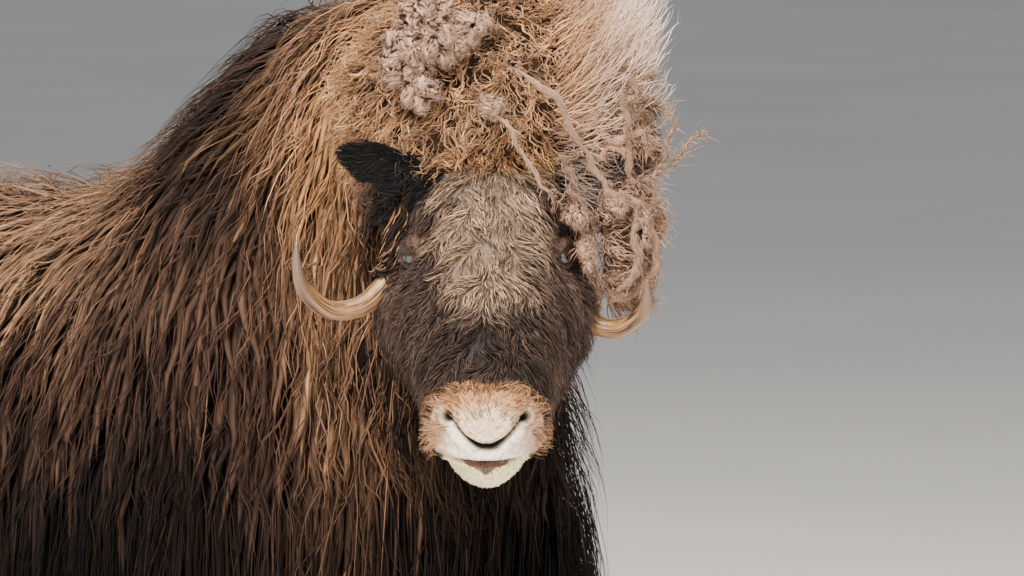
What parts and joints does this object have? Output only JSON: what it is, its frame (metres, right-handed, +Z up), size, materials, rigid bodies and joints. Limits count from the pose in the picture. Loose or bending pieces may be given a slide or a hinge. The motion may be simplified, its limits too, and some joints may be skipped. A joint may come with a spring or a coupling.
{
  "type": "muskox",
  "caption": "Life-size standing muskox cow with her head turned to one side, in a long shaggy coat with loose wool heaped on the crown, hooked horns and cloven hooves.",
  "frame": {"origin": "on the ground, below the middle of the whole model's bounding box", "axes": "-Y the way the body faces, +X towards the animal's left, +Z up; the head is turned fifty degrees to the animal's right"},
  "size_m": [0.7678, 1.5303, 1.3252],
  "materials": {
    "coat": "long dark brown guard hair with a paler saddle, hanging in locks to a ragged hem",
    "face_hair": "short felted grey-brown hair on the forehead, near black at the sides, pale skin and hair at the nose and lips",
    "ear_hair": "short dense near-black hair",
    "leg_hair": "short pale beige hair that lies downwards",
    "eye": "wet dark brown glass eye",
    "horn": "tan horn with dark lengthwise streaks and a grey tip, worn to a low sheen",
    "hoof": "dark grey-brown hoof horn with fine growth lines"
  },
  "bodies": {
    "root": {"dewclaw_front_left_inner": "hoof", "dewclaw_front_left_outer": "hoof", "dewclaw_front_right_inner": "hoof", "dewclaw_front_right_outer": "hoof", "dewclaw_hind_left_inner": "hoof", "dewclaw_hind_left_outer": "hoof", "dewclaw_hind_right_inner": "hoof", "dewclaw_hind_right_outer": "hoof", "ear_left": "ear_hair", "ear_right": "ear_hair", "eye_left": "eye", "eye_right": "eye", "head": "face_hair", "hoof_front_left_inner": "hoof", "hoof_front_left_outer": "hoof", "hoof_front_right_inner": "hoof", "hoof_front_right_outer": "hoof", "hoof_hind_left_inner": "hoof", "hoof_hind_left_outer": "hoof", "hoof_hind_right_inner": "hoof", "hoof_hind_right_outer": "hoof", "horn_left": "horn", "horn_right": "horn", "leg_front_left": "leg_hair", "leg_front_right": "leg_hair", "leg_hind_left": "leg_hair", "leg_hind_right": "leg_hair", "neck": "coat", "tail": "coat", "trunk": "coat"}
  },
  "joints": []
}
